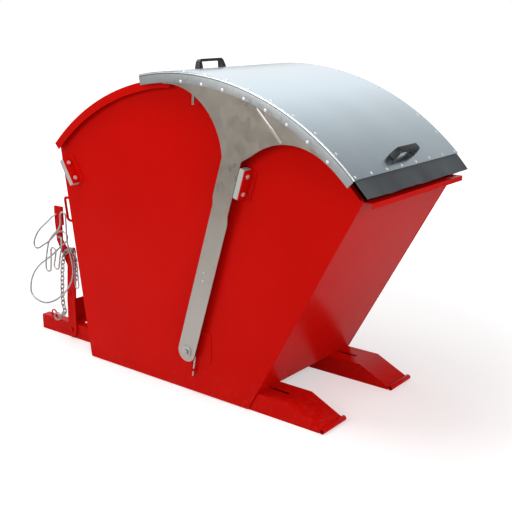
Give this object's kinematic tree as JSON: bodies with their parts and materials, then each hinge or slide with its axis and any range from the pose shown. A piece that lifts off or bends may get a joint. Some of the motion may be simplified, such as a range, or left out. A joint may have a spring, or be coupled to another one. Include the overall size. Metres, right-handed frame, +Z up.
{
  "type": "self dumping hopper",
  "caption": "Self dumping hopper for a fork lift: wedge-shaped steel tub that tips forward on a base with fork pockets, under a round lid that swings on two side arms, with a rear latch lever",
  "frame": {"origin": "On the floor, at the middle of the length and of the width, measured without the rope", "axes": "+X is the dumping direction, +Y is to the left of it and away from the latch lever, +Z is up"},
  "size_m": [2.3487, 0.914, 1.5908],
  "materials": {
    "red_paint": "glossy red paint",
    "zinc": "galvanised sheet",
    "bright_steel": "zinc-plated",
    "rope": "plastic-covered wire rope",
    "buffer": "light grey hard rubber",
    "black_plastic": "black moulded plastic",
    "rubber": "dark grey sheet rubber"
  },
  "bodies": {
    "base_frame": {"fork_pocket_near": "red_paint", "fork_pocket_far": "red_paint", "tip_tube_near": "red_paint", "tip_tube_far": "red_paint", "hinge_pin_near": "bright_steel", "hinge_pin_far": "bright_steel", "base_rail_near": "red_paint", "base_rail_far": "red_paint", "rear_cross_beam": "red_paint", "base_tie_tube": "red_paint", "rail_eye": "red_paint", "latch_bolt": "red_paint"},
    "tub": {"side_plate_near": "red_paint", "side_plate_far": "red_paint", "rim_strip_near": "red_paint", "rim_strip_far": "red_paint", "pivot_plate_near": "red_paint", "pivot_plate_far": "red_paint", "front_stop_angle_near": "red_paint", "front_stop_angle_far": "red_paint", "rear_stop_angle_near": "red_paint", "rear_stop_angle_far": "red_paint", "tub_hinge_claw_near": "red_paint", "tub_hinge_claw_far": "red_paint", "front_wall": "red_paint", "tub_floor": "red_paint", "rear_wall": "red_paint", "roof_sheet": "red_paint", "mouth_lip": "red_paint", "rear_staple": "red_paint", "lock_rod_clip": "red_paint", "pivot_bolt_near": "bright_steel", "pivot_bolt_far": "bright_steel", "pivot_boss_near": "zinc", "pivot_boss_far": "zinc", "front_stop_buffer_near": "buffer", "front_stop_buffer_far": "buffer", "rear_stop_buffer_near": "buffer", "rear_stop_buffer_far": "buffer"},
    "lid": {"lid_edge_near": "zinc", "lid_edge_far": "zinc", "lid_arm_near": "zinc", "lid_arm_far": "zinc", "stop_lug_near": "zinc", "stop_lug_far": "zinc", "lid_sheet": "zinc", "lid_handle_front": "black_plastic", "lid_handle_rear": "black_plastic", "mouth_flap": "rubber", "flap_clamp_bar": "zinc"},
    "latch": {"latch_lever": "red_paint", "latch_head": "red_paint", "chain_peg": "bright_steel", "hook_chain": "zinc", "pull_rope": "rope"},
    "lock_rod_body": {"lock_rod": "bright_steel"}
  },
  "joints": [
    {"name": "tub_tip", "type": "hinge", "parent": "base_frame", "child": "tub", "pos_m": [0.634, 0, 0.05], "axis": [0, 1, 0], "range_deg": [0, 82]},
    {"name": "lid_swing", "type": "hinge", "parent": "tub", "child": "lid", "pos_m": [0.16, 0, 0.223], "axis": [0, -1, 0], "range_deg": [0, 47]},
    {"name": "latch_release", "type": "hinge", "parent": "base_frame", "child": "latch", "pos_m": [-0.882, -0.2745, 0.055], "axis": [0, -1, 0], "range_deg": [0, 20]},
    {"name": "lock_rod_slide", "type": "slide", "parent": "tub", "child": "lock_rod_body", "axis": [0.169, 0, 0.9856], "range_m": [-0.03, 0]}
  ]
}
